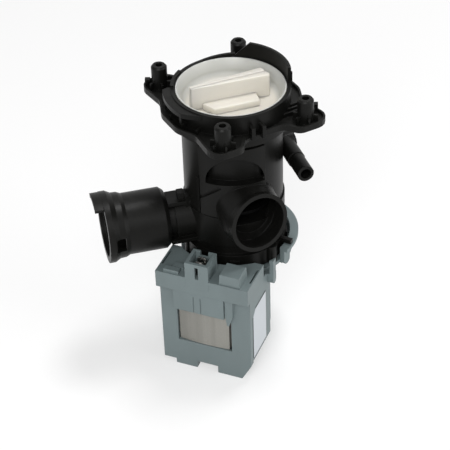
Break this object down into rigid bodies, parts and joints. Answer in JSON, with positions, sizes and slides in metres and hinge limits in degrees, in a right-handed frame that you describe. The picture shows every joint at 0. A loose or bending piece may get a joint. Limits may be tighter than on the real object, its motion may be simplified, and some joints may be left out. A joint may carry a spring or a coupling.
{
  "type": "washer drain pump",
  "caption": "Washer drain pump: screw-in lint filter with a deep grip cap, inlet pipe, side outlet sleeve, drain spigot and an open-framed synchronous motor.",
  "frame": {"origin": "middle of the four screw bosses, on the plane of their ends", "axes": "+Z along the filter's axis, out of the filter's mouth; -Y the way the inlet pipe opens; +X to the right of it"},
  "size_m": [0.1262, 0.1039, 0.1857],
  "materials": {
    "filter_mouth": "satin",
    "filter_tube": "satin",
    "volute_housing": "satin",
    "outlet_sleeve": "satin",
    "filter_cap": "satin",
    "filter_basket": "matte",
    "cap_seal": "matte",
    "check_flap": "matte",
    "flap_pin": "brushed",
    "volute_gasket": "matte",
    "impeller": "matte",
    "impeller_drive": "satin",
    "rotor_shaft": "brushed",
    "rotor_magnet": "ferrite",
    "magnet_sleeve": "satin",
    "front_bearing": "sintered",
    "rear_bearing": "sintered",
    "front_grommet": "matte",
    "rear_grommet": "matte",
    "thrust_washers": "polished",
    "shaft_seal": "matte",
    "motor_flange": "matte",
    "motor_frame": "matte",
    "motor_cover": "matte",
    "stator_core": "brushed",
    "bobbin_left": "satin",
    "bobbin_right": "satin",
    "winding_left": "enamelled copper",
    "winding_right": "enamelled copper",
    "coil_link": "enamelled copper",
    "terminal_front": "brushed",
    "terminal_rear": "brushed",
    "rating_label": "printed film, blank"
  },
  "bodies": {
    "housing": {"filter_mouth": "filter_mouth", "filter_tube": "filter_tube", "volute_housing": "volute_housing", "outlet_sleeve": "outlet_sleeve", "volute_gasket": "volute_gasket", "front_bearing": "front_bearing", "rear_bearing": "rear_bearing", "front_grommet": "front_grommet", "rear_grommet": "rear_grommet", "shaft_seal": "shaft_seal", "motor_flange": "motor_flange", "motor_frame": "motor_frame", "motor_cover": "motor_cover", "stator_core": "stator_core", "bobbin_left": "bobbin_left", "bobbin_right": "bobbin_right", "winding_left": "winding_left", "winding_right": "winding_right", "coil_link": "coil_link", "terminal_front": "terminal_front", "terminal_rear": "terminal_rear", "rating_label": "rating_label", "flap_pin": "flap_pin"},
    "seal": {"cap_seal": "cap_seal"},
    "filter": {"filter_cap": "filter_cap", "filter_basket": "filter_basket"},
    "rotor": {"rotor_shaft": "rotor_shaft", "rotor_magnet": "rotor_magnet", "magnet_sleeve": "magnet_sleeve", "impeller_drive": "impeller_drive", "thrust_washers": "thrust_washers"},
    "wheel": {"impeller": "impeller"},
    "flap": {"check_flap": "check_flap"}
  },
  "joints": [
    {"name": "cap_lift", "type": "slide", "parent": "housing", "child": "seal", "axis": [0, 0, 1], "range_m": [0, 0.0045]},
    {"name": "cap_turn", "type": "hinge", "parent": "seal", "child": "filter", "pos_m": [0, 0, 0], "axis": [0, 0, 1], "range_deg": [0, 135]},
    {"name": "rotor_spin", "type": "hinge", "parent": "housing", "child": "rotor", "pos_m": [0, 0, -0.12], "axis": [0, 0, 1], "continuous": true},
    {"name": "impeller_play", "type": "hinge", "parent": "rotor", "child": "wheel", "pos_m": [0, 0, -0.095], "axis": [0, 0, 1], "range_deg": [0, 230]},
    {"name": "flap_swing", "type": "hinge", "parent": "housing", "child": "flap", "pos_m": [-0.04723, 0.01266, -0.0745], "axis": [0.2588, 0.9659, 0], "range_deg": [0, 60], "stiffness_Nm_per_rad": 0.0003, "springref_deg": -8.59}
  ],
  "couplings": [
    {"joint": "cap_lift", "follows": "cap_turn", "m_per_rad": 0.0019098}
  ]
}
